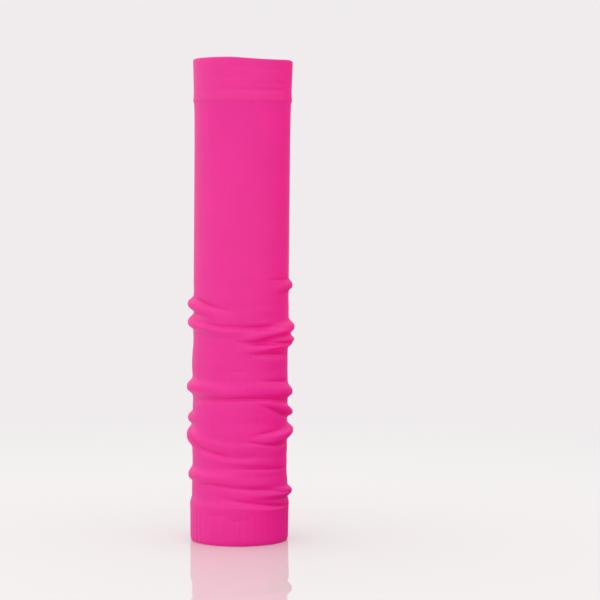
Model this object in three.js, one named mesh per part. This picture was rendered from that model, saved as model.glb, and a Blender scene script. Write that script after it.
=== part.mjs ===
// A knitted arm sleeve that stands on its ribbed wrist cuff: a tube of fine jersey with a double turned
// band round the upper-arm opening, plain above and pushed down into soft rolls of cloth below.
// Millimetres, +Z up. The front faces -Y, and a bearing is the angle round the tube from the front,
// in degrees, with +90 on the right side (+X) and -90 on the left.
import * as THREE from "three";

// Driving dimensions
const SLEEVE_HEIGHT = 402;
const CUFF_HEIGHT = 29;
const BAND_HEIGHT = 36;
const JERSEY_WALL = 1.6;
const BAND_WALL = 2.6;
const CUFF_WALL = 2.2;
const CUFF_EDGE = 0.35; // bevel along the cuff's lower edges
const PIECE_GAP = 0.3; // clearance between the tube and the pieces linked to its ends
const LEAN = 3.8; // how far the standing sleeve drifts towards +X from its foot to its rim
const RIM_SWAY = 1.2; // how far the top rim rises above and dips below level
const RIM_PEAK = -35; // bearing of the rim's highest place
const RIM_DIP = 1.1; // how far the rim sinks in one short dip
const DIP_BEARING = 28; // bearing of the dip's middle
const DIP_HALF = 42; // half of its width, in degrees
const DIP_ENDS = 1.5; // how fast the dip fades out towards its sides

// Fineness of the facets
const FACETS_ROUND = 36;
const FOLDED_ROW = 3.8; // height of a row of facets among the folds
const PLAIN_ROW = 24; // height of a row of facets above them
const RIM_STEPS = 4; // facets over the band's rolled rim

// Shape that the folds share
const FOLDS_TOP = 222; // height above which the tube is plain
const FOLD_ROUNDNESS = 2.2; // how fast a fold falls off beside its ridge
const FOLD_FULLNESS = 4; // power of the fall-off: a higher one gives a fuller ridge with steeper sides
const FOLD_ENDS = 3; // how fast a fold fades out towards its two ends

// Outside of the jersey tube between its folds, a row for each height where its radius changes
const TUBE_SECTIONS = [
  { height: 29, radius: 41.2 },
  { height: 33, radius: 40.4 },
  { height: 38, radius: 39.9 },
  { height: 60, radius: 39.8 },
  { height: 330, radius: 39.9 },
  { height: 366, radius: 40.3 },
];

// Outside of the upper band, upwards from its linked edge: the third row is the raised ridge
const BAND_SECTIONS = [
  { rise: 0, radius: 40.5 },
  { rise: 1.5, radius: 41.0 },
  { rise: 4, radius: 41.4 },
  { rise: 7, radius: 40.9 },
  { rise: 20, radius: 41.2 },
  { rise: 33, radius: 41.6 },
];

// Outside of the wrist cuff, upwards from the hem that it stands on
const CUFF_SECTIONS = [
  { rise: CUFF_EDGE, radius: 40.9 },
  { rise: 14, radius: 40.9 },
  { rise: 25, radius: 41.2 },
  { rise: CUFF_HEIGHT, radius: 41.4 },
];

// Rolls of slack jersey, a row for each: the bearings where it starts and ends, its ridge's height at the
// start, the middle and the end, how far it stands out, and how far it runs out above and below its ridge
const FOLDS = [
  { name: "right_top", start: 25, end: 170, heights: [215.5, 215, 213], reach: 3.8, above: 5, below: 5 },
  { name: "left_upper", start: -175, end: -10, heights: [192, 198.2, 191.5], reach: 6, above: 5, below: 6 },
  { name: "left_second", start: -175, end: 30, heights: [184, 181.7, 176.5], reach: 5, above: 5, below: 7 },
  { name: "right_second", start: -30, end: 200, heights: [172, 179.2, 172], reach: 5, above: 5, below: 5 },
  { name: "right_third", start: -25, end: 185, heights: [162, 165, 170], reach: 4.4, above: 5, below: 5.5 },
  { name: "left_third", start: -185, end: 20, heights: [126, 129, 128], reach: 4.2, above: 6, below: 5.5 },
  { name: "front_middle", start: -80, end: 95, heights: [128.5, 128, 127], reach: 1.1, above: 9, below: 5.5 },
  { name: "right_fourth", start: 0, end: 185, heights: [129, 125, 119], reach: 4.6, above: 7, below: 6 },
  { name: "right_fifth", start: 5, end: 180, heights: [124, 107.6, 101], reach: 4, above: 4.5, below: 5 },
  { name: "left_fourth", start: -175, end: -35, heights: [99, 102.5, 106.5], reach: 5.6, above: 5, below: 5 },
  { name: "right_sixth", start: -10, end: 190, heights: [89.5, 91.6, 92], reach: 5.2, above: 5, below: 6 },
  { name: "left_bag", start: -170, end: -25, heights: [92, 89.5, 84], reach: 6, above: 8.5, below: 8 },
  { name: "front_diagonal", start: -90, end: 45, heights: [93, 82, 82], reach: 1.2, above: 5, below: 5 },
  { name: "front_low", start: -85, end: 80, heights: [77, 70.2, 70], reach: 1.4, above: 4.5, below: 4.5 },
  { name: "left_low", start: -185, end: 60, heights: [46, 55, 48.5], reach: 2.8, above: 6.5, below: 5 },
  { name: "right_low", start: -20, end: 200, heights: [45, 41, 37], reach: 3.8, above: 4.5, below: 4.5 },
  { name: "back_first", start: 115, end: 265, heights: [213.5, 206, 197], reach: 3.2, above: 5, below: 5.5 },
  { name: "back_second", start: 117, end: 267, heights: [177, 181, 184], reach: 3.4, above: 5, below: 5.5 },
  { name: "back_third", start: 120, end: 250, heights: [168.5, 165, 159], reach: 2.6, above: 4.5, below: 5 },
  { name: "back_fourth", start: 115, end: 265, heights: [120, 125, 128], reach: 3.2, above: 6, below: 5.5 },
  { name: "back_fifth", start: 118, end: 262, heights: [103, 104.5, 101.5], reach: 2.8, above: 5, below: 5 },
  { name: "back_sixth", start: 115, end: 265, heights: [92.5, 87.5, 90.5], reach: 3.2, above: 5, below: 6 },
  { name: "back_low", start: 130, end: 255, heights: [72, 67.5, 70.5], reach: 1.8, above: 4.5, below: 4.5 },
  { name: "back_last", start: 110, end: 270, heights: [38.5, 44, 51], reach: 2.6, above: 5, below: 5 },
];

const BAND_FOOT = SLEEVE_HEIGHT - BAND_HEIGHT;
const TUBE_FOOT = CUFF_HEIGHT + PIECE_GAP;
const TUBE_TOP = BAND_FOOT - PIECE_GAP;

// A hump that is 1 at t = 0 and falls smoothly to 0 at t = -1 and t = 1
function hump(t, sharpness) {
  return Math.max(0, 1 - t * t) ** sharpness;
}

// Height of a fold's ridge: the parabola through its three heights, with t from -1 to 1 along the fold
function ridgeHeight(fold, t) {
  const [first, middle, last] = fold.heights;
  const slope = (last - first) / 2;
  const bend = (first + last) / 2 - middle;
  return middle + slope * t + bend * t * t;
}

// How far one fold carries the cloth outwards at a bearing and a height: a round ridge that fades out
// towards the fold's two ends
function foldReach(fold, bearing, height) {
  const middle = (fold.start + fold.end) / 2;
  const turn = THREE.MathUtils.euclideanModulo(bearing - middle + 180, 360) - 180;
  const along = turn / ((fold.end - fold.start) / 2);
  const over = height - ridgeHeight(fold, along);
  const across = over / (over > 0 ? fold.above : fold.below);
  return fold.reach * hump(along, FOLD_ENDS) * Math.exp(-FOLD_ROUNDNESS * across ** FOLD_FULLNESS);
}

function foldsReach(bearing, height) {
  return FOLDS.reduce((sum, fold) => sum + foldReach(fold, bearing, height), 0);
}

// How far the band lifts at a bearing: nothing at its linked edge, and the whole sway and dip at its rim
function rimLift(bearing, height) {
  const rise = Math.max(0, (height - BAND_FOOT) / BAND_HEIGHT);
  const sway = RIM_SWAY * Math.cos(THREE.MathUtils.degToRad(bearing - RIM_PEAK));
  const dip = RIM_DIP * hump((bearing - DIP_BEARING) / DIP_HALF, DIP_ENDS);
  return rise * rise * (sway - dip);
}

// Radius of the plain tube at a height, straight between the rows of its table
function tubeRadius(height) {
  const above = TUBE_SECTIONS.findIndex((section) => section.height >= height);
  const upper = TUBE_SECTIONS[Math.max(1, above)];
  const lower = TUBE_SECTIONS[Math.max(1, above) - 1];
  return THREE.MathUtils.mapLinear(height, lower.height, upper.height, lower.radius, upper.radius);
}

// Heights from low up to, but without, high, about one step apart
function rowsBetween(low, high, step) {
  const count = Math.round((high - low) / step);
  return Array.from({ length: count }, (_, row) => low + ((high - low) * row) / count);
}

// A closed profile of [radius, height] corners, up the outside and down the inside, turned round the axis
function turnedWall(profile) {
  const corners = profile.map(([radius, height]) => new THREE.Vector2(radius, height));
  corners.push(corners[0].clone());
  const wall = new THREE.LatheGeometry(corners, FACETS_ROUND);
  wall.rotateX(Math.PI / 2);
  return wall;
}

// Lays a turned wall as the sleeve stands: out over the folds, up and down at the rim, and leaning
function lay(wall) {
  const corners = wall.getAttribute("position");
  const corner = new THREE.Vector3();
  for (let i = 0; i < corners.count; i += 1) {
    corner.fromBufferAttribute(corners, i);
    const bearing = THREE.MathUtils.radToDeg(Math.atan2(corner.x, -corner.y));
    const outwards = 1 + foldsReach(bearing, corner.z) / Math.hypot(corner.x, corner.y);
    const drift = (LEAN * corner.z) / SLEEVE_HEIGHT;
    const height = corner.z + rimLift(bearing, corner.z);
    corners.setXYZ(i, corner.x * outwards + drift, corner.y * outwards, height);
  }
  wall.computeVertexNormals();
  return wall;
}

function sleeveBodyProfile() {
  const folded = rowsBetween(TUBE_FOOT, FOLDS_TOP, FOLDED_ROW);
  const plain = rowsBetween(FOLDS_TOP, TUBE_TOP, PLAIN_ROW);
  const heights = [...folded, ...plain, TUBE_TOP];
  const outside = heights.map((height) => [tubeRadius(height), height]);
  const inside = outside.map(([radius, height]) => [radius - JERSEY_WALL, height]);
  return [...outside, ...inside.reverse()];
}

// The band's outside, a half round over its rim, and a straight inside
function upperBandProfile() {
  const outside = BAND_SECTIONS.map(({ rise, radius }) => [radius, BAND_FOOT + rise]);
  const [topRadius, topHeight] = outside[outside.length - 1];
  const rimHeight = SLEEVE_HEIGHT - topHeight;
  const rim = Array.from({ length: RIM_STEPS }, (_, step) => {
    const angle = (Math.PI * (step + 1)) / RIM_STEPS;
    const radius = topRadius - (BAND_WALL / 2) * (1 - Math.cos(angle));
    return [radius, topHeight + rimHeight * Math.sin(angle)];
  });
  const insideFoot = [BAND_SECTIONS[0].radius - BAND_WALL, BAND_FOOT];
  return [...outside, ...rim, insideFoot];
}

// The cuff's outside and inside, with a flat hem between two bevelled edges
function wristCuffProfile() {
  const outside = CUFF_SECTIONS.map(({ rise, radius }) => [radius, rise]);
  const inside = outside.map(([radius, height]) => [radius - CUFF_WALL, height]).reverse();
  const hem = CUFF_SECTIONS[0].radius;
  const hemInside = [hem - CUFF_WALL + CUFF_EDGE, 0];
  const hemOutside = [hem - CUFF_EDGE, 0];
  return [...outside, ...inside, hemInside, hemOutside];
}

function knitPiece(name, profile, colour) {
  const knit = new THREE.MeshStandardMaterial({ color: colour, roughness: 0.95, metalness: 0 });
  const piece = new THREE.Mesh(lay(turnedWall(profile)), knit);
  piece.name = name;
  return piece;
}

const sleeve = new THREE.Group();
sleeve.name = "arm_sleeve";
sleeve.add(knitPiece("upper_band", upperBandProfile(), 0xef3e98));
sleeve.add(knitPiece("sleeve_body", sleeveBodyProfile(), 0xee3895));
sleeve.add(knitPiece("wrist_cuff", wristCuffProfile(), 0xe7308d));

// The origin lies on the floor under the middle of the sleeve's box
const box = new THREE.Box3().setFromObject(sleeve);
const middle = box.getCenter(new THREE.Vector3());
sleeve.position.set(-middle.x, -middle.y, -box.min.z);

export default sleeve;
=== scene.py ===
# %% [markdown]
# # A knitted arm sleeve
#
# The sleeve is a tube of fine jersey in bright pink, with a double turned band round the upper-arm
# opening and a ribbed cuff at the wrist. It stands on its cuff, and its slack has slid down into soft
# rolls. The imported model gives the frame: where the three pieces lie, and how large they are. This
# lesson makes the cloth itself, as surfaces worked out with numpy, and gives it its knitted finish.

import bpy
import numpy as np
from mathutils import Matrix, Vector


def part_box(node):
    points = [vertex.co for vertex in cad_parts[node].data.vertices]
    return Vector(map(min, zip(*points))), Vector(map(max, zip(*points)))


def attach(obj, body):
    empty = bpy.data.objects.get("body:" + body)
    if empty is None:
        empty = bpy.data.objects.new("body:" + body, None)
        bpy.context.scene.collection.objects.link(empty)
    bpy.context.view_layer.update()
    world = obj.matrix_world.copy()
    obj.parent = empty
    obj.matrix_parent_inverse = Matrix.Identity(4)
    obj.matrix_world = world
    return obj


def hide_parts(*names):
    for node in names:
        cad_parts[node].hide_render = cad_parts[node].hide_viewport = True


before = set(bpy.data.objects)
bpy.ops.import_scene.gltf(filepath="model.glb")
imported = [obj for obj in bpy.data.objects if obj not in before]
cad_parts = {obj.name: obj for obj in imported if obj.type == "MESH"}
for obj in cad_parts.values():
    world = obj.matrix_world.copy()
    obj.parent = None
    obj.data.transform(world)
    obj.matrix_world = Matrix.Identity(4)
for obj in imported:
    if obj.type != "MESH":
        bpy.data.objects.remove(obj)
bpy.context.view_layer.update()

print("frame nodes:", sorted(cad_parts))

# %% [markdown]
# ## Where the pieces lie
#
# Every shape below is worked out in millimetres, because cloth is thought of in millimetres, and goes
# into Blender in metres. The sleeve leans a little as it stands. Its axis is the straight line from the
# middle of the cuff's box to the middle of the band's box, so both come from the frame.

# %% Read the boxes of the cuff and the band
MM = 0.001


def box_mm(node):
    """Lowest and highest corner of a node, in millimetres."""
    low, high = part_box(node)
    return np.array(low) / MM, np.array(high) / MM


cuff_low, cuff_high = box_mm("wrist_cuff")
band_low, band_high = box_mm("upper_band")
cuff_middle = (cuff_low + cuff_high) / 2
band_middle = (band_low + band_high) / 2
lean = (band_middle - cuff_middle) / (band_middle[2] - cuff_middle[2])
foot = cuff_middle - lean * cuff_middle[2]
cuff_top = cuff_high[2]
band_foot = band_low[2]
print(f"cuff top {cuff_top:.1f} mm, band foot {band_foot:.1f} mm, foot at {foot.round(2)} mm")

# %% [markdown]
# ## From arrays to a mesh
#
# Each piece of this sleeve is a wall of cloth that closes on itself twice: round the arm, and up the
# outside and down the inside. So each one is a grid of points whose rows and columns both wrap, and one
# helper can put any of them into a mesh. A UV map called knit holds the place on the flat cloth in
# millimetres, so that stitches follow the cloth over its folds.

# %% Helpers for walls of cloth
SHARP_RIM = 70  # degrees between two faces from which their edge is a sharp one


def place_round(bearing, radius, height):
    """Points round the leaning axis: x grows with the sine of the bearing, y falls with its cosine."""
    angle = np.radians(bearing)
    x = foot[0] + lean[0] * height + radius * np.sin(angle)
    y = foot[1] + lean[1] * height - radius * np.cos(angle)
    return np.stack([x, y, height], axis=-1)


def wall_mesh(name, points, across, along):
    """A mesh from a grid of points in millimetres that wraps in both directions.

    Each face joins four neighbours of the grid. across and along are the cloth's own measures of the
    columns and the rows, and hold one more value than the grid has, for the far side of the last face.
    """
    rows, columns = points.shape[:2]
    row, column = np.meshgrid(np.arange(rows), np.arange(columns), indexing="ij")
    corner_rows = np.stack([row, row, row + 1, row + 1], axis=-1)
    corner_columns = np.stack([column, column + 1, column + 1, column], axis=-1)
    faces = (corner_rows % rows) * columns + corner_columns % columns
    mesh = bpy.data.meshes.new(name)
    mesh.from_pydata(points.reshape(-1, 3) * MM, [], faces.reshape(-1, 4), shade_flat=False)
    mesh.set_sharp_from_angle(angle=np.radians(SHARP_RIM))
    knit = np.stack([across[corner_columns], along[corner_rows]], axis=-1)
    mesh.uv_layers.new(name="knit").data.foreach_set("uv", knit.astype(np.float32).ravel())
    piece = bpy.data.objects.new(name, mesh)
    bpy.context.scene.collection.objects.link(piece)
    print(f"{name}: {len(mesh.polygons)} faces, box {np.ptp(points.reshape(-1, 3), axis=0).round(1)} mm")
    return piece


print("axis at the middle of the band:", place_round(0, 0, band_middle[2]).round(2), "mm")

# %% [markdown]
# ## The folds of the jersey
#
# Slack jersey on a smooth form slides down into rolls: each one is a round ridge of cloth, strongest at
# one place and fading out round the tube, with tight creases beside it that run on further than the roll
# does. A cloth simulation would make other rolls each time its settings change, and here every roll has
# its place. So rolls and creases are two tables, a row for each, and a formula turns them into a shape.
# The rolls of the back carry on those of the two sides, as cloth that is gathered all round does.

# %% The table of rolls
# Bearings are degrees round the tube from the front, with +90 on the right side. Heights are those of
# the ridge where the roll starts, in its middle and where it ends. A roll reaches outwards, and runs out
# so far above and below its ridge. Lengths are millimetres.
ROLL_COLUMNS = ("start", "end", "first", "middle", "last", "reach", "above", "below")
ROLLS = {
    "right_top": (25, 170, 209, 214.6, 213, 3.4, 5, 4.6),
    "left_upper": (-175, -10, 193.5, 199.2, 191.5, 5.8, 5, 6.4),
    "left_second": (-175, 30, 187, 184.2, 174.5, 4.9, 5.2, 7),
    "right_second": (-30, 200, 163.5, 179, 172, 4.9, 5, 5),
    "right_third": (-25, 185, 157.5, 167.8, 171.5, 4.3, 4.8, 5),
    "left_swell": (-160, -20, 147, 147, 147, 0.8, 16, 16),
    "left_third": (-185, 20, 126, 128.6, 128, 4.2, 5.6, 6),
    "front_middle": (-80, 95, 128.5, 128, 127, 1.1, 9, 5.5),
    "right_fourth": (0, 185, 128, 124.6, 119, 4.6, 6.8, 6),
    "right_fifth": (5, 180, 124, 107.6, 101, 3.8, 4.5, 5),
    "left_fourth": (-175, -35, 99, 102.5, 106.5, 5.3, 5.2, 6.4),
    "right_sixth": (-10, 190, 84, 92.2, 92.6, 5.0, 5.4, 6.6),
    "left_bag": (-170, -25, 92, 89, 84, 5.7, 8, 9.5),
    "front_diagonal": (-90, 45, 92.5, 81.3, 81.3, 1.0, 5, 5),
    "front_low": (-85, 80, 76.5, 69.5, 69.2, 1.0, 4.5, 4.5),
    "left_low": (-185, 42, 46, 55, 50, 2.8, 6.5, 5),
    "right_low": (-20, 200, 42.5, 41.6, 38, 3.4, 4.2, 5),
    "right_bridge": (55, 125, 172.6, 172.6, 172.6, 1.8, 4, 4),
    "right_hollow": (20, 160, 66, 66, 66, -0.6, 14, 14),
    "back_first": (115, 265, 213.5, 206, 197, 3.2, 5, 5.5),
    "back_second": (117, 267, 177, 181, 184, 3.4, 5, 5.5),
    "back_third": (120, 250, 168.5, 165, 159, 2.6, 4.5, 5),
    "back_fourth": (115, 265, 120, 125, 128, 3.2, 6, 5.5),
    "back_fifth": (118, 262, 103, 104.5, 101.5, 2.8, 5, 5),
    "back_sixth": (115, 265, 92.5, 87.5, 90.5, 3.2, 5, 6),
    "back_low": (130, 255, 72, 67.5, 70.5, 1.8, 4.5, 4.5),
    "back_last": (110, 270, 38.5, 44, 51, 2.6, 5, 5),
}
rolls = [dict(zip(ROLL_COLUMNS, row)) for row in ROLLS.values()]
print(f"{len(rolls)} rolls of cloth, the fullest reaching {max(roll['reach'] for roll in rolls)} mm")

# %% The table of creases
# A crease is a line where the cloth tucks in: it has a path as a roll has, a depth and half a width.
CREASE_COLUMNS = ("start", "end", "first", "middle", "last", "depth", "width")
CREASES = {
    "over_right_top": (30, 130, 219.5, 219.7, 219, 1.0, 2.1),
    "over_left_upper": (-95, -8, 206.5, 201, 192.7, 2.6, 2.3),
    "under_left_upper": (-125, -40, 192.5, 192.6, 189, 1.9, 2.2),
    "over_second": (-110, 95, 198, 181.2, 182.5, 2.6, 2.4),
    "over_left_second": (-85, -5, 190, 184.8, 180.5, 0.9, 2.2),
    "over_third": (-10, 150, 169.5, 167.7, 174, 3.9, 2.3),
    "under_third": (0, 130, 159.9, 157.9, 158, 1.7, 2.2),
    "dimple": (-9, 8, 144.8, 143.8, 143.2, 0.5, 1.6),
    "over_fourth": (20, 130, 136.8, 135.1, 133.5, 1.5, 2.1),
    "under_middle": (-115, 130, 114.5, 121.6, 106.8, 2.2, 2.2),
    "under_fifth": (20, 140, 117.5, 104.4, 101, 2.0, 2.2),
    "over_sixth": (15, 150, 92.9, 95.6, 96.4, 1.9, 2.2),
    "under_sixth": (0, 130, 87.4, 83.2, 82.8, 2.3, 2.2),
    "diagonal_rise": (-95, -38, 102, 85.5, 76.2, 3.2, 2.6),
    "diagonal": (-80, 22, 90, 75.4, 72.2, 1.9, 2.3),
    "under_front_low": (-36, 100, 63.8, 62.2, 60.3, 1.0, 2.2),
    "under_left_low": (-75, 130, 54.4, 45.4, 40.4, 1.6, 2.4),
    "under_right_low": (-30, 140, 41.4, 31.2, 29.5, 2.3, 2.3),
    "back_over_first": (130, 250, 218.5, 211.5, 202, 1.8, 2.2),
    "back_under_first": (135, 265, 206, 199, 190.5, 2.4, 2.2),
    "back_over_second": (125, 255, 183, 187.5, 190, 2.2, 2.2),
    "back_under_second": (145, 265, 171.5, 174, 177, 3.2, 2.2),
    "back_under_third": (110, 240, 161.5, 158.5, 153, 2.6, 2.2),
    "back_middle": (150, 225, 141, 144, 146, 1.0, 2.2),
    "back_over_fourth": (120, 240, 130, 133.5, 136, 2.2, 2.2),
    "back_under_fourth": (120, 255, 112.5, 117, 120.5, 3.0, 2.2),
    "back_under_fifth": (110, 255, 97.5, 96.5, 96, 3.4, 2.2),
    "back_under_sixth": (115, 265, 84, 79.5, 82.5, 3.4, 2.2),
    "back_under_low": (130, 250, 66, 61.5, 64, 2.2, 2.2),
    "back_under_last": (120, 255, 33, 37, 44.5, 2.6, 2.2),
}
creases = [dict(zip(CREASE_COLUMNS, row)) for row in CREASES.values()]
print(f"{len(creases)} creases, the deepest {max(crease['depth'] for crease in creases)} mm")

# %% The shape of rolls and creases
SAG = 0.15  # how far a roll hangs down for each millimetre that it reaches out
ROUNDNESS = 2.1  # how fast a roll falls off beside its ridge
RIDGE_POWER = 3  # how flat its top is: 2 gives a bell, and more a broader top with steeper sides
ROLL_ENDS = 3  # power that fades a roll towards its two ends: the higher, the shorter it looks
CREASE_ENDS = 1.2  # the same for a crease, which stays deep for longer
SIDE_TUCK = 0.1  # share of a crease's depth at the sides of the tube, where the cloth lies tighter
SIDE_POWER = 20  # power of the sine of the bearing that marks the sides: the higher, the narrower


def hump(t, sharpness):
    """1 at t = 0, falling smoothly to 0 at t = -1 and t = 1: one minus t squared, to a power."""
    return np.maximum(0, 1 - t**2) ** sharpness


def along_fold(fold, bearing):
    """How far along a fold a bearing lies, from -1 at its start to 1 at its end."""
    middle = (fold["start"] + fold["end"]) / 2
    turn = (bearing - middle + 180) % 360 - 180
    return turn / ((fold["end"] - fold["start"]) / 2)


def above_fold(fold, t, height):
    """How far a height lies above the fold's line, the parabola through its three heights."""
    slope = (fold["last"] - fold["first"]) / 2
    bend = (fold["first"] + fold["last"]) / 2 - fold["middle"]
    return height - (fold["middle"] + slope * t + bend * t**2)


def push_of_rolls(bearing, height):
    """Sum of the rolls: a round ridge with a soft foot, fading out towards the roll's two ends.

    Across the ridge, the height falls off as the exponential of minus a power of the distance. The ridge is
    raised by as much as it will sag, so that it hangs at the height that its row gives.
    """
    push = 0
    for roll in rolls:
        t = along_fold(roll, bearing)
        reach = roll["reach"] * hump(t, ROLL_ENDS)
        over = above_fold(roll, t, height) - SAG * reach
        across = np.where(over > 0, over / roll["above"], over / roll["below"])
        push = push + reach * np.exp(-ROUNDNESS * np.abs(across) ** RIDGE_POWER)
    return push


def pull_of_creases(rows, bearing, height):
    """Sum of the creases: a valley along each line, as deep as a bell curve makes it to either side."""
    pull = 0
    for crease in rows:
        t = along_fold(crease, bearing)
        over = above_fold(crease, t, height) / crease["width"]
        pull = pull + crease["depth"] * hump(t, CREASE_ENDS) / (1 + over**2) ** 2
    return pull * (1 - (1 - SIDE_TUCK) * np.sin(np.radians(bearing)) ** SIDE_POWER)


ridge = ROLLS["left_upper"][ROLL_COLUMNS.index("middle")]
print(f"on the left side, at {ridge} mm, the rolls push out {push_of_rolls(-90, ridge):.1f} mm")

# %% [markdown]
# ## The jersey tube
#
# The plain tube is a radius for each height. The rolls push it outwards and sag under their own weight,
# and the creases pull it in. No line in cloth is quite even, so soft random relief makes the folds
# wander up and down and lie fuller in some places. The same relief, blurred far more round the tube than
# up it, gives the fine wrinkles between them. The inner side of the wall is the outer one moved in by
# the cloth's thickness, with every second row, because nobody looks at it closely. At its top the tube
# steps in, where it is linked into the band.

# %% Sizes of the jersey tube
GIRTH = 249.4  # round the plain tube
JERSEY_WALL = 1.4
TUBE_COLUMNS = 160
FOLDED_ROWS = 370
PLAIN_ROWS = 25
FOLDS_TOP = 224  # height from which the rows lie wide apart, because no fold reaches it
INNER_ROWS = slice(None, None, -2)  # the inner side goes down again, with every second row
SEAM_RISES = np.array([-2, -0.6, -0.12, -0.02, 0.6, 1.6])  # rows at the seam, from the foot of the band
# Radius of the plain tube at some heights. Just under the band's foot it steps in, between the two layers.
TUBE_HEIGHTS = np.array([29, 31, 34, 38, 60, 330, band_foot - 4, band_foot - 0.12, band_foot - 0.02, 368])
TUBE_RADII = np.array([41.6, 41.7, 41.1, 40.2, 39.85, 39.95, 40.3, 40.5, 39.35, 39.35])
WANDER = 0.7  # how far the folds stray up and down
UNEVEN = 0.1  # how much fuller or flatter they lie in places
WRINKLE_DEPTH = 0.16
SETTLED_LOW = 10  # height above the cuff over which the straying and the wrinkles set in
SETTLED_HIGH = 30  # and below the top of the folds over which they die out
row_step = (FOLDS_TOP - cuff_top) / FOLDED_ROWS
print(f"tube wall {JERSEY_WALL} mm, {TUBE_COLUMNS} columns, and among the folds a row each {row_step:.2f} mm")

# %% Smooth curves and steps


def flowing(x, places, values):
    """A smooth curve through the points of a table that never overshoots them.

    Each stretch is Hermite's cubic. The slope at a point is the harmonic mean of the slopes of the two
    stretches that meet there, and level where one rises and the other falls.
    """
    rate = np.diff(values) / np.diff(places)
    product = np.maximum(0, rate[:-1] * rate[1:])
    inner = 2 * product / np.where(product > 0, rate[:-1] + rate[1:], 1)
    slopes = np.concatenate([rate[:1], inner, rate[-1:]])
    i = np.clip(np.searchsorted(places, x) - 1, 0, len(places) - 2)
    width = places[i + 1] - places[i]
    t = (x - places[i]) / width
    from_values = values[i] * (1 + 2 * t) * (1 - t) ** 2 + values[i + 1] * t**2 * (3 - 2 * t)
    from_slopes = width * (slopes[i] * t * (1 - t) ** 2 - slopes[i + 1] * t**2 * (1 - t))
    return from_values + from_slopes


def ease(t):
    """0 below t = 0 and 1 above t = 1, with the smooth step 3t squared minus 2t cubed between."""
    t = np.clip(t, 0, 1)
    return t**2 * (3 - 2 * t)


halfway = flowing(band_foot / 2, TUBE_HEIGHTS, TUBE_RADII)
print(f"radius of the plain tube halfway up to the band: {halfway:.2f} mm")

# %% Random relief
# The relief is worked out on a net of knots about a millimetre apart. A kind of relief has a seed, and
# the number of knots by which it is blurred up the tube and round it.
NET_ROWS = 240
NET_COLUMNS = 192
NET_STEP = 0.985  # millimetres between its rows
STRAYING = (7, 9, 14)
FULLNESS = (11, 7, 9)
WRINKLES = (13, 2.6, 10)


def soft_noise(seed, row_blur, column_blur):
    """Random relief of unit spread: white noise on the net, blurred by a Gaussian through its waves."""
    size = (NET_ROWS, NET_COLUMNS)
    noise = np.fft.rfft2(np.random.default_rng(seed).normal(size=size))
    row_waves = np.fft.fftfreq(NET_ROWS)[:, None] * row_blur
    column_waves = np.fft.rfftfreq(NET_COLUMNS)[None, :] * column_blur
    blur = np.exp(-2 * np.pi**2 * (row_waves**2 + column_waves**2))
    relief = np.fft.irfft2(noise * blur, s=size)
    return relief / relief.std()


def relief_at(kind, bearing, height):
    """Relief between the knots of the net: the mean of the four around a place, by how near each one is."""
    relief = soft_noise(*kind)
    row = np.clip((height - cuff_top) / NET_STEP, 0, NET_ROWS - 2)
    column = (bearing + 180) / 360 * NET_COLUMNS
    low, left = np.floor(row).astype(int), np.floor(column).astype(int)
    up, right = row - low, column - left
    next_left = (left + 1) % NET_COLUMNS
    below = relief[low, left] * (1 - right) + relief[low, next_left] * right
    above = relief[low + 1, left] * (1 - right) + relief[low + 1, next_left] * right
    return below * (1 - up) + above * up


print(f"net of {NET_ROWS} by {NET_COLUMNS} knots, spread of the wrinkles {soft_noise(*WRINKLES).std():.2f}")

# %% The outer side of the tube


def tube_rows():
    """Heights of the rows: close among the folds, wide above them, and close again at the seam."""
    folded = np.linspace(cuff_top, FOLDS_TOP, FOLDED_ROWS, endpoint=False)
    plain = np.linspace(FOLDS_TOP, band_foot + SEAM_RISES[0], PLAIN_ROWS, endpoint=False)
    return np.concatenate([folded, plain, band_foot + SEAM_RISES])[:, None]


def tube_outside():
    """Bearing round, height up: the plain radius plus rolls and wrinkles, less creases, with the sag."""
    bearing = np.linspace(-180, 180, TUBE_COLUMNS, endpoint=False)[None, :]
    height = tube_rows()
    fade = ease((height - cuff_top) / SETTLED_LOW) * ease((FOLDS_TOP - height) / SETTLED_HIGH)
    strayed = height + WANDER * fade * relief_at(STRAYING, bearing, height)
    fullness = 1 + UNEVEN * relief_at(FULLNESS, bearing, height)
    push = push_of_rolls(bearing, strayed) * fullness
    pull = pull_of_creases(creases, bearing, strayed)
    wrinkles = WRINKLE_DEPTH * fade * relief_at(WRINKLES, bearing, height)
    radius = flowing(height, TUBE_HEIGHTS, TUBE_RADII) + push - pull + wrinkles
    return place_round(bearing, radius, height - SAG * np.maximum(push, 0))


outside = tube_outside()
print(f"outer side of the tube: {outside.shape[0]} rows of {outside.shape[1]} points")

# %% Make the jersey tube


def inner_side(points, wall):
    """A grid moved inwards by the wall along its normals, the cross products of its steps round and up."""
    step_round = np.roll(points, -1, axis=1) - np.roll(points, 1, axis=1)
    step_up = np.gradient(points, axis=0)
    normal = np.cross(step_round, step_up)
    return points - wall * normal / np.linalg.norm(normal, axis=2, keepdims=True)


def cloth_lengths(points):
    """Length of cloth from the first row to each row, along the surface, as the mean of all columns."""
    steps = np.linalg.norm(np.diff(points, axis=0), axis=2).mean(axis=1)
    return np.concatenate([[0], np.cumsum(steps)])


inside = inner_side(outside, JERSEY_WALL)[INNER_ROWS]
jersey_length = cloth_lengths(outside)
jersey_along = np.concatenate([jersey_length, jersey_length[INNER_ROWS], [0]])
jersey_across = np.linspace(0, GIRTH, TUBE_COLUMNS + 1)
jersey_tube = wall_mesh("jersey_tube", np.concatenate([outside, inside]), jersey_across, jersey_along)
print(f"cloth in the tube: {GIRTH} mm round and {jersey_length[-1]:.0f} mm long")

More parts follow.
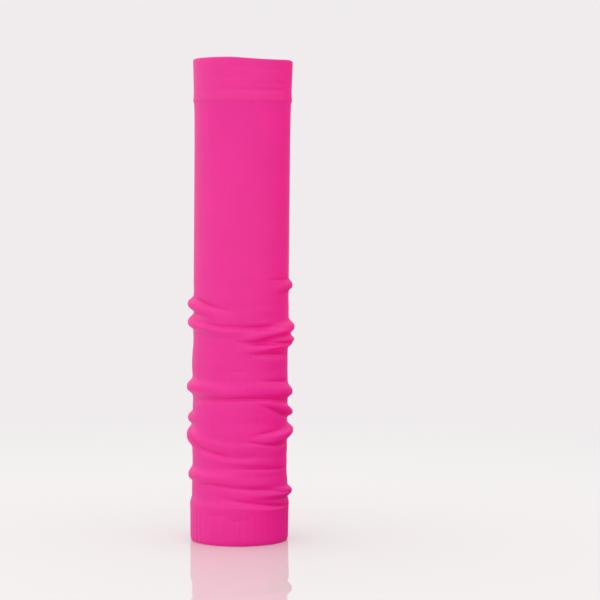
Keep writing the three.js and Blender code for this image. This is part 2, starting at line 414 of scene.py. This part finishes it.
# %% [markdown]
# ## The upper band
#
# The band is one strip of jersey turned over on itself: it goes up the outside, rolls over at the rim
# and comes down the inside, and the tube's edge is linked in between the two layers. A solid ring would
# hide that. So the strip's centre line is a path in the plane of radius and height, the cloth is laid to
# both sides of it, and the closed outline is carried round the arm. The low ridge at its foot is the row
# of links, which is beaded, a bead for each link. Faint creases run part of the way round, where the
# double cloth gives a little.

# %% Sizes of the upper band
BAND_CLOTH = 1.0
LINKS = 96
BAND_COLUMNS = LINKS * 5
BAND_ROWS = 34
RIM_ROWS = 9
RIM_SWAY = 1.2  # how far the rim rises above level and sinks below it
RIM_PEAK = -35  # bearing of its highest place
RIM_DIP = 1.1  # how far it sinks in one short dip
DIP_BEARING = 28  # bearing of the dip's middle
DIP_HALF = 42  # half of its width, in degrees
DIP_ENDS = 1.5  # power that fades it towards its sides
LINK_RISE = 2.0  # height of the row of links above the foot of the band
LINK_HALF = 1.6  # half of the row's height
LINK_DEPTH = 0.1  # how far a bead stands out
# Radius of the outer layer's outside and the inner layer's inside, at some rises above the band's foot.
BAND_RISES = np.array([0, 0.8, 2.2, 4.5, 9, 20, 34.6])
BAND_OUTSIDE = np.array([40.55, 40.85, 41.15, 41.05, 40.85, 41.15, 41.6])
BAND_INSIDE = np.array([36.8, 36.9, 37.1, 37.5, 38.0, 38.6, 39.0])
BAND_CREASES = {
    "above_ridge": (-40, 110, 376.5, 376, 376.5, 0.6, 2.3),
    "middle_left": (-50, 5, 387.5, 386.5, 386, 0.25, 1.6),
    "middle_right": (15, 85, 381, 381.5, 383, 0.3, 1.8),
    "below_rim": (-20, 60, 395, 394, 392.5, 0.25, 2.2),
}
band_creases = [dict(zip(CREASE_COLUMNS, row)) for row in BAND_CREASES.values()]
band_height = band_high[2] - band_foot - RIM_SWAY
print(f"band {band_height:.1f} mm high, of cloth {BAND_CLOTH} mm thick with {LINKS} links round its foot")

# %% The strip of the band, turned over


def band_path():
    """Centre line of the turned strip: up the outer layer, half round over the rim, down the inner one."""
    rise = np.linspace(0, BAND_RISES[-1], BAND_ROWS)
    outer = flowing(rise, BAND_RISES, BAND_OUTSIDE) - BAND_CLOTH / 2
    inner = flowing(rise, BAND_RISES, BAND_INSIDE) + BAND_CLOTH / 2
    turn = np.linspace(0, np.pi, RIM_ROWS + 2)[1:-1]
    rim_middle = (outer[-1] + inner[-1]) / 2
    rim_half = (outer[-1] - inner[-1]) / 2
    rim_rise = band_height - rise[-1] - BAND_CLOTH / 2
    rim = np.stack([rim_middle + rim_half * np.cos(turn), rise[-1] + rim_rise * np.sin(turn)], axis=1)
    up = np.stack([outer, rise], axis=1)
    down = np.stack([inner, rise], axis=1)[::-1]
    return np.concatenate([up, rim, down])


def outline_of_strip(path, cloth):
    """Closed outline of a strip of cloth: its path moved half the cloth to one side, then the other."""
    step = np.gradient(path, axis=0)
    side = np.stack([step[:, 1], -step[:, 0]], axis=1)
    side *= cloth / 2 / np.linalg.norm(side, axis=1, keepdims=True)
    return np.concatenate([path + side, (path - side)[::-1]])


band_strip = band_path()
outline = outline_of_strip(band_strip, BAND_CLOTH)
strip_length = np.concatenate([[0], np.cumsum(np.linalg.norm(np.diff(band_strip, axis=0), axis=1))])
print(f"cloth in the band: {strip_length[-1]:.0f} mm long before it was turned")

# %% Make the upper band


def rim_lift(bearing, rise):
    """The rim rises once round the arm and sinks in one short dip, more the nearer the cloth is to it."""
    sway = RIM_SWAY * np.cos(np.radians(bearing - RIM_PEAK))
    dip = RIM_DIP * hump((bearing - DIP_BEARING) / DIP_HALF, DIP_ENDS)
    return (rise / band_height) ** 2 * (sway - dip)


def link_beads(bearing, rise):
    """Beads along the ridge of links: a cosine round the arm, fading out above and below the ridge."""
    return LINK_DEPTH * np.cos(np.radians(LINKS * bearing)) * hump((rise - LINK_RISE) / LINK_HALF, 1)


bearing = np.linspace(-180, 180, BAND_COLUMNS, endpoint=False)[None, :]
rise = outline[:, 1:]
pull = pull_of_creases(band_creases, bearing, band_foot + rise)
radius = outline[:, :1] + link_beads(bearing, rise) - pull
points = place_round(bearing, radius, band_foot + rise + rim_lift(bearing, rise))
band_along = np.concatenate([strip_length, strip_length[::-1], [0]])
band_across = np.linspace(0, GIRTH, BAND_COLUMNS + 1)
turned_band = wall_mesh("turned_band", points, band_across, band_along)

# %% [markdown]
# ## The wrist cuff
#
# The cuff is knitted in rib: columns of stitches that stand out alternate with columns that sink in, so
# the whole wall is corrugated and grips the wrist. Bump alone would leave its hem a plain circle, so the
# ribs are in the shape. They are low, because the cuff is stretched, and fade where the jersey starts.
# A few puckers lie where the rib gives way under the slack above it.

# %% Sizes of the wrist cuff
RIBS = 42
RIB_DEPTH = 0.12  # how far a rib stands out, and the cloth between two ribs sinks in
RIB_SQUARENESS = 1.6  # how steep the sides of a rib are: the higher, the squarer it is
CUFF_WALL = 2.0
CUFF_COLUMNS = RIBS * 12
CUFF_ROWS = 48
HEM_ROWS = 7
HEM_RISE = 0.6  # height over which the hem is rounded
HEM_RIBS = 0.5  # share of the ribs' depth that is left at the hem
RIBS_START = 3  # height over which they reach their full depth
RIBS_END = 7  # height below the jersey over which they die out
# Radius of the cuff's outside at some heights.
CUFF_HEIGHTS = np.array([HEM_RISE, 4, 14, 25, 29])
CUFF_RADII = np.array([40.5, 41.1, 41.2, 41.35, 41.6])
PUCKERS = {
    "left_pucker": (-44, -6, 26, 24.6, 24.4, 0.4, 2.4),
    "top_pucker": (-22, 8, 29.4, 30, 30.2, 0.3, 2.2),
    "right_pucker": (-16, 16, 21.6, 21.2, 22, 0.4, 2.4),
}
puckers = [dict(zip(CREASE_COLUMNS, row)) for row in PUCKERS.values()]
print(f"{RIBS} ribs, one each {GIRTH / RIBS:.1f} mm, and {len(puckers)} puckers")

# %% Make the wrist cuff


def cuff_outline():
    """Closed outline of the cuff: up the outside, down the inside, and half round under the hem."""
    height = np.linspace(HEM_RISE, cuff_top, CUFF_ROWS)
    radius = flowing(height, CUFF_HEIGHTS, CUFF_RADII)
    turn = np.linspace(0, np.pi, HEM_ROWS + 2)[1:-1]
    hem_radius = radius[0] - CUFF_WALL / 2 * (1 + np.cos(turn))
    hem_height = HEM_RISE * (1 - np.sin(turn))
    up = np.stack([radius, height], axis=1)
    down = np.stack([radius - CUFF_WALL, height], axis=1)[::-1]
    return np.concatenate([up, down, np.stack([hem_radius, hem_height], axis=1)])


def ribs_at(bearing, height):
    """A squared-off cosine round the arm, fading in above the hem and out below the jersey."""
    wave = np.tanh(RIB_SQUARENESS * np.cos(np.radians(RIBS * bearing))) / np.tanh(RIB_SQUARENESS)
    start = HEM_RIBS + (1 - HEM_RIBS) * ease(height / RIBS_START)
    return RIB_DEPTH * wave * start * ease((cuff_top - height) / RIBS_END)


outline = cuff_outline()
bearing = np.linspace(-180, 180, CUFF_COLUMNS, endpoint=False)[None, :]
bearing, height = np.broadcast_arrays(bearing, outline[:, 1:])
radius = outline[:, :1] + ribs_at(bearing, height) - pull_of_creases(puckers, bearing, height)
points = place_round(bearing, radius, height)
cuff_steps = np.linalg.norm(np.diff(outline, axis=0, append=outline[:1]), axis=1)
cuff_along = np.concatenate([[0], np.cumsum(cuff_steps)])
cuff_across = np.linspace(0, GIRTH, CUFF_COLUMNS + 1)
ribbed_cuff = wall_mesh("ribbed_cuff", points, cuff_across, cuff_along)

# %% [markdown]
# ## The knitted finish
#
# The yarn is textured nylon, which takes a deep, bright dye. Jersey shows columns of small V shapes: each
# stitch is two slanted legs of yarn. Their relief can be written as a wave across a column, times narrow
# grooves along it that slant away from the middle of the column. That gives the bump, and a darker colour
# down between the legs, which is painted shade. Low in the slack and just under the band, painted shade
# makes the pink deeper, where the cloth reflects less white light. A trace of sheen is the fuzz of fibre
# ends.

# %% Helpers for materials


def linear(hex_colour):
    """An sRGB colour such as #EE3895 as the linear red, green, blue and alpha that Blender mixes."""
    srgb = np.array([int(hex_colour[i : i + 2], 16) for i in (1, 3, 5)]) / 255
    rgb = np.where(srgb <= 0.04045, srgb / 12.92, ((srgb + 0.055) / 1.055) ** 2.4)
    return (*rgb.tolist(), 1.0)


def add_node(tree, kind, inputs=None, **settings):
    """Adds a shader node, sets its properties, and sets or links each of its inputs."""
    node = tree.nodes.new("ShaderNode" + kind)
    for name, value in settings.items():
        setattr(node, name, value)
    for name, value in (inputs or {}).items():
        if isinstance(value, bpy.types.NodeSocket):
            tree.links.new(value, node.inputs[name])
        else:
            node.inputs[name].default_value = value
    return node


def new_material(name):
    """An empty node material, and its tree of nodes."""
    material = bpy.data.materials.new(name)
    material.use_nodes = True
    material.node_tree.nodes.clear()
    return material, material.node_tree


MIXED = 2  # output of a Mix node that holds the mixture of two colours, which are its inputs 6 and 7
SMOOTH = {"interpolation_type": "SMOOTHSTEP"}
print("a clear pink in linear light:", tuple(round(v, 3) for v in linear("#EE3895")))

# %% Stitches as a height from 0 to 1
# Real stitches of this jersey are about 1.3 mm wide, less than two pixels of the picture. They are drawn
# about twice as wide, so that they show.
WALES = 96
WALE = GIRTH / WALES
COURSE = 2.3  # height of a stitch
SLANT = 0.8  # courses by which a leg of yarn climbs from the middle of its column to the edge
GROOVE = 0.25  # power that narrows the groove between two courses


def stitch_relief(tree):
    """Height of the yarn, from the place on the flat cloth in millimetres.

    Across a column, s runs from 0 in its middle to 1 at its edge, and a leg of yarn is the sine of a half
    turn of s. Along it, a groove parts the legs at each course, shifted by the slant times s.
    """
    place = add_node(tree, "UVMap", uv_map="knit").outputs["UV"]
    axes = add_node(tree, "SeparateXYZ", {"Vector": place}).outputs
    turns = add_node(tree, "Math", {0: axes["X"], 1: 2 / WALE}, operation="MULTIPLY").outputs[0]
    s = add_node(tree, "Math", {0: turns, 1: 1.0}, operation="PINGPONG").outputs[0]
    half_turn = add_node(tree, "Math", {0: s, 1: np.pi}, operation="MULTIPLY").outputs[0]
    leg = add_node(tree, "Math", {0: half_turn}, operation="SINE").outputs[0]
    slanted = {0: s, 1: SLANT * COURSE, 2: axes["Y"]}
    along = add_node(tree, "Math", slanted, operation="MULTIPLY_ADD").outputs[0]
    courses = add_node(tree, "Math", {0: along, 1: 2 / COURSE}, operation="MULTIPLY").outputs[0]
    loop = add_node(tree, "Math", {0: courses, 1: 1.0}, operation="PINGPONG").outputs[0]
    parted = add_node(tree, "Math", {0: loop, 1: GROOVE}, operation="POWER").outputs[0]
    return add_node(tree, "Math", {0: leg, 1: parted}, operation="MULTIPLY").outputs[0]


print(f"{WALES} columns of stitches, each stitch {WALE:.2f} mm wide and {COURSE} mm high")

# %% Colour of the knit
# Two colours: the yarn's own, and a darker one down between the stitches that is painted shade. A third, a
# deeper pink, is painted shade too: low in the slack, and just under the band's links. The heights between
# which these two set in, and the size of the clouds in the dye, are in metres.
# Painted shade: a deeper pink low down and just under the band, where the cloth reflects less white light.
PAINTED_SHADE_PINK = "#EE0896"
LOW_SHADE_FROM = 0.26
LOW_SHADE_FULL = 0.05
LOW_SHADE_SHARE = 0.65
BAND_SHADE_FROM = 0.24
BAND_SHADE_FULL = 0.36
CLOUD_SIZE = 0.03
CLOUD_TONE = 0.03  # share by which a cloud lightens or darkens the dye
CLOUD_LOW = 0.3  # values of the noise between which nearly all of it lies
CLOUD_HIGH = 0.7
YARN_TOP = 0.8  # height of the relief from which the colour is the yarn's own
GROOVE_LEAST = 0.35  # share of the yarn's colour at the bottom of a groove


def painted_shade_share(tree, place, band_shade):
    """Share of painted shade, 0 to 1: a smooth step down towards the foot, and one up to the band's links."""
    height = add_node(tree, "SeparateXYZ", {"Vector": place}).outputs["Z"]
    slack = {"Value": height, "From Min": LOW_SHADE_FROM, "From Max": LOW_SHADE_FULL, "To Max": LOW_SHADE_SHARE}
    slack = add_node(tree, "MapRange", slack, **SMOOTH).outputs["Result"]
    links = {"Value": height, "From Min": BAND_SHADE_FROM, "From Max": BAND_SHADE_FULL, "To Max": band_shade}
    links = add_node(tree, "MapRange", links, **SMOOTH).outputs["Result"]
    return add_node(tree, "Math", {0: slack, 1: links}, operation="ADD").outputs[0]


def dyed_yarn(tree, relief, place, yarn, groove, band_shade):
    """Painted shade in the grooves up to the yarn's own with the relief, more of it in places, and clouds."""
    depth = {"Value": relief, "From Max": YARN_TOP, "To Min": GROOVE_LEAST}
    depth = add_node(tree, "MapRange", depth).outputs["Result"]
    # The second colour, down in the grooves, is painted shade.
    colour = {0: depth, 6: linear(groove), 7: linear(yarn)}
    colour = add_node(tree, "Mix", colour, data_type="RGBA").outputs[MIXED]
    # The deeper pink of painted shade, low down and under the band.
    colour = {0: painted_shade_share(tree, place, band_shade), 6: colour, 7: linear(PAINTED_SHADE_PINK)}
    colour = add_node(tree, "Mix", colour, data_type="RGBA").outputs[MIXED]
    clouds = {"Vector": place, "Scale": 1 / CLOUD_SIZE, "Detail": 2.0}
    clouds = add_node(tree, "TexNoise", clouds).outputs["Fac"]
    tone = {"Value": clouds, "From Min": CLOUD_LOW, "From Max": CLOUD_HIGH}
    tone |= {"To Min": 1 - CLOUD_TONE, "To Max": 1 + CLOUD_TONE}
    tone = add_node(tree, "MapRange", tone).outputs["Result"]
    return add_node(tree, "HueSaturation", {"Color": colour, "Value": tone}).outputs["Color"]


# Heights of the painted shade, low down and under the band.
print(f"dye fuller below {LOW_SHADE_FULL} m and above {BAND_SHADE_FULL} m, plain about {LOW_SHADE_FROM} m")

# %% The knit material
STITCH_DEPTH = 0.00022  # metres
YARN_GRIT = 0.0009  # metres, size of the fibres that roughen the yarn, drawn coarse so that they show
GRIT_SHARE = 0.3  # height of the grit, as a share of a stitch's
FUZZ_TINT = "#FFC4DE"


def knit_material(name, yarn, groove, stitch_strength, band_shade=0.0):
    """Matte knitted yarn: dye and painted shade, and a bump of stitches roughened by the grit of the fibres.
    """
    material, tree = new_material(name)
    relief = stitch_relief(tree)
    place = add_node(tree, "TexCoord").outputs["Object"]
    fibres = {"Vector": place, "Scale": 1 / YARN_GRIT, "Detail": 3.0}
    fibres = add_node(tree, "TexNoise", fibres).outputs["Fac"]
    fuzz = {0: fibres, 1: GRIT_SHARE, 2: relief}
    fuzz = add_node(tree, "Math", fuzz, operation="MULTIPLY_ADD").outputs[0]
    bump = {"Height": fuzz, "Strength": stitch_strength, "Distance": STITCH_DEPTH}
    surface = {
        "Base Color": dyed_yarn(tree, relief, place, yarn, groove, band_shade),
        "Normal": add_node(tree, "Bump", bump).outputs["Normal"],
        "Roughness": 0.5,
        "Specular IOR Level": 0.5,
        "Sheen Weight": 0.05,
        "Sheen Roughness": 0.5,
        "Sheen Tint": linear(FUZZ_TINT),
    }
    surface = add_node(tree, "BsdfPrincipled", surface).outputs["BSDF"]
    add_node(tree, "OutputMaterial", {"Surface": surface})
    print(f"{name}: yarn {yarn}, {groove} between the stitches")
    return material


PINK_YARN = "#F31B98"
# Painted shade between the stitches: the yarn's pink, darker.
PINK_GROOVE_SHADE = "#DD1286"
# Single jersey is thin and even: a flat bright pink with just a grain of stitches.
# The jersey alone gets the painted shade just under the band.
jersey = knit_material("knitted_nylon_jersey", PINK_YARN, PINK_GROOVE_SHADE, stitch_strength=0.5, band_shade=0.65)
# The welt is two layers of it under tension, so it looks a shade lighter and its stitches are flatter.
# Its second colour is painted shade between the stitches, as in the jersey.
welt = knit_material("turned_nylon_welt", "#F31D98", "#DF1488", stitch_strength=0.4)
# The rib has the jersey's yarn. The columns that sink in between its ribs are in the shape of the cuff.
rib = knit_material("ribbed_nylon_knit", PINK_YARN, PINK_GROOVE_SHADE, stitch_strength=0.5)

# %% Put the finishes on, and tie the pieces to the frame
for piece, material, node, slot in (
    (jersey_tube, jersey, "sleeve_body", "jersey_knit"),
    (turned_band, welt, "upper_band", "welt_knit"),
    (ribbed_cuff, rib, "wrist_cuff", "rib_knit"),
):
    piece.data.materials.append(material)
    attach(piece, "root")
    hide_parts(node)
    print(f"{piece.name} stands for {node} in {material.name}")

# %% [markdown]
# ## The light
#
# The sleeve is lit as in a light tent: soft white light from all round, strongest from the upper left in
# front. A pink card behind the right side throws light of the cloth's own colour on it, which keeps that
# side deep and warm instead of veiled in white. Many lamps and cards could make this light. One formula
# for the light from each direction is smoother and has no grain. The camera sees neither the tent nor
# the card, only a plain background. A ray that a perfect mirror has thrown back counts as singular in
# Blender. Such a ray comes from the floor, and sees the tent without the card, so that the floor stays white.

# %% Strength and colour of the tent
TENT_CLOTH = "#FFFDFD"
BRIGHTEST = Vector((-0.5, -0.58, 0.65)).normalized()
BRIGHT_SIDE = 1.27  # strength of the light from there
DIM_SIDE = 0.92  # and from the far side
DIM_FROM = -0.6  # cosine to the brightest direction below which the tent gets no dimmer
CARD = "#FF20AC"
CARD_SIDE = Vector((0.76, 0.62, -0.2)).normalized()
CARD_EDGE = 0.6  # cosine to the card's middle where its soft edge starts
CARD_FULL = 0.97  # and where the card is full


def tent_strength(tree, direction):
    """Strength of the light: a smooth step of the cosine to the brightest direction."""
    facing = {0: direction, 1: BRIGHTEST}
    facing = add_node(tree, "VectorMath", facing, operation="DOT_PRODUCT").outputs["Value"]
    strength = {"Value": facing, "From Min": DIM_FROM, "To Min": DIM_SIDE, "To Max": BRIGHT_SIDE}
    return add_node(tree, "MapRange", strength, **SMOOTH).outputs["Result"]


def tent_colour(tree, direction, mirrored):
    """Colour of the light: a smooth step of the cosine to the card, and no card for a mirrored ray."""
    facing = {0: direction, 1: CARD_SIDE}
    facing = add_node(tree, "VectorMath", facing, operation="DOT_PRODUCT").outputs["Value"]
    unmirrored = add_node(tree, "Math", {0: 1.0, 1: mirrored}, operation="SUBTRACT").outputs[0]
    card = {"Value": facing, "From Min": CARD_EDGE, "From Max": CARD_FULL, "To Max": unmirrored}
    card = add_node(tree, "MapRange", card, **SMOOTH).outputs["Result"]
    colour = {0: card, 6: linear(TENT_CLOTH), 7: linear(CARD)}
    return add_node(tree, "Mix", colour, data_type="RGBA").outputs[MIXED]


print(f"light tent from {DIM_SIDE} to {BRIGHT_SIDE}, brightest from {tuple(round(v, 2) for v in BRIGHTEST)}")

# %% Light tent
BACKGROUND = "#F0ECED"


def light_tent():
    """A world that lights the sleeve from each direction, and shows the camera a plain background."""
    world = bpy.data.worlds.new("light_tent")
    world.use_nodes = True
    tree = world.node_tree
    tree.nodes.clear()
    direction = add_node(tree, "TexCoord").outputs["Generated"]
    path = add_node(tree, "LightPath").outputs
    colour = tent_colour(tree, direction, path["Is Singular Ray"])
    light = {"Color": colour, "Strength": tent_strength(tree, direction)}
    light = add_node(tree, "Background", light).outputs[0]
    seen = add_node(tree, "Background", {"Color": linear(BACKGROUND)}).outputs[0]
    surface = {0: path["Is Camera Ray"], 1: light, 2: seen}
    surface = add_node(tree, "MixShader", surface).outputs["Shader"]
    add_node(tree, "OutputWorld", {"Surface": surface})
    return world


bpy.context.scene.world = light_tent()
bpy.context.scene.view_settings.view_transform = "Standard"
print(f"world {bpy.context.scene.world.name}, and {BACKGROUND} for the camera")

# %% [markdown]
# ## The studio floor
#
# The sleeve stands on a sheet of polished white acrylic, which mirrors its foot sharply. A studio bends the
# sheet up behind the object. Here it lies flat and fades, with the distance from the sleeve, into the
# background, so that no line shows where the two meet. Three round pink cards lie on it, towards the same
# side as the card in the tent. The nearest is the deepest: it is painted shade, so that side of the sleeve
# darkens towards its foot. Only light that has already met the cloth sees them: to the camera the floor
# is white.

# %% Disc of the floor
FLOOR_RADIUS = 40.0  # metres
FLOOR_SIDES = 96


def floor_disc(name):
    """A flat disc: one face between points at equal angles on a circle."""
    angle = np.linspace(0, 2 * np.pi, FLOOR_SIDES, endpoint=False)
    rim = np.stack([np.cos(angle), np.sin(angle), np.zeros_like(angle)], axis=1) * FLOOR_RADIUS
    mesh = bpy.data.meshes.new(name)
    mesh.from_pydata(rim, [], [np.arange(FLOOR_SIDES)])
    disc = bpy.data.objects.new(name, mesh)
    bpy.context.scene.collection.objects.link(disc)
    return disc


floor = floor_disc("floor")
print(f"floor {2 * FLOOR_RADIUS:.0f} m across")

# %% Polished acrylic
ACRYLIC = "#E4E6E3"
FADE_FROM = 0.25  # metres from the sleeve's foot where the floor starts to fade
FADE_TO = 1.0  # and where it is all background
# Colour and middle of each card, and how far from its middle it ends and is full, in metres.
FLOOR_CARDS = (
    (CARD, Vector((0.95, 0.8, 0)), 1.22, 0.85),
    (CARD, Vector((0.38, 0.03, 0)), 0.45, 0.26),
    # The nearest card is painted shade: dark, so the sleeve's foot on that side is darker.
    ("#A80C72", Vector((0.15, 0, 0)), 0.2, 0.06),
)


def floor_colour(tree, place, straight):
    """White, and for all but the camera pink on each card, by a smooth step of the distance to its middle."""
    hidden = add_node(tree, "Math", {0: 1.0, 1: straight}, operation="SUBTRACT").outputs[0]
    colour = linear(ACRYLIC)
    for card, middle, edge, full in FLOOR_CARDS:
        distance = add_node(tree, "VectorMath", {0: place, 1: middle}, operation="DISTANCE").outputs["Value"]
        share = {"Value": distance, "From Min": edge, "From Max": full}
        share = add_node(tree, "MapRange", share, **SMOOTH).outputs["Result"]
        share = add_node(tree, "Math", {0: share, 1: hidden}, operation="MULTIPLY").outputs[0]
        colour = {0: share, 6: colour, 7: linear(card)}
        colour = add_node(tree, "Mix", colour, data_type="RGBA").outputs[MIXED]
    return colour


def white_acrylic():
    """Polished acrylic, which for the camera turns into plain light as the distance from the sleeve grows."""
    material, tree = new_material("polished_acrylic")
    place = add_node(tree, "TexCoord").outputs["Object"]
    straight = add_node(tree, "LightPath").outputs["Is Camera Ray"]
    sheet = {"Base Color": floor_colour(tree, place, straight), "Roughness": 0.0, "IOR": 1.4}
    sheet = add_node(tree, "BsdfPrincipled", sheet).outputs["BSDF"]
    distance = add_node(tree, "VectorMath", {0: place}, operation="LENGTH").outputs["Value"]
    fade = {"Value": distance, "From Min": FADE_FROM, "From Max": FADE_TO}
    fade = add_node(tree, "MapRange", fade, **SMOOTH).outputs["Result"]
    fade = add_node(tree, "Math", {0: fade, 1: straight}, operation="MULTIPLY").outputs[0]
    light = add_node(tree, "Emission", {"Color": linear(BACKGROUND)}).outputs["Emission"]
    surface = add_node(tree, "MixShader", {0: fade, 1: sheet, 2: light}).outputs["Shader"]
    add_node(tree, "OutputMaterial", {"Surface": surface})
    return material


# Polished acrylic is hard and even: it shows a clear, pale image of what stands on it.
floor.data.materials.append(white_acrylic())
print(f"floor of acrylic, fading between {FADE_FROM} and {FADE_TO} m from the sleeve")

# %% [markdown]
# ## The camera
#
# The picture was taken from about two metres, a little below the height of the band and looking slightly
# down, with the sleeve to the left of the middle. The size of the sleeve in the picture and the curve of
# its rims give the lens and the height.

# %% Camera
LENS = 134.1  # focal length in millimetres
EYE_SIDE = 51.3  # millimetres to the right of the sleeve's foot
EYE_BACK = 1872  # in front of it
EYE_HEIGHT = 308  # and above the floor
PITCH = 3.245  # degrees by which the camera looks down
camera_data = bpy.data.cameras.new("camera")
camera_data.lens = LENS
camera = bpy.data.objects.new("camera", camera_data)
camera.location = np.array([foot[0] + EYE_SIDE, foot[1] - EYE_BACK, EYE_HEIGHT]) * MM
camera.rotation_euler = (np.radians(90 - PITCH), 0, 0)
bpy.context.scene.collection.objects.link(camera)
bpy.context.scene.camera = camera
print(f"camera {LENS} mm lens at {tuple(round(v, 3) for v in camera.location)} m")
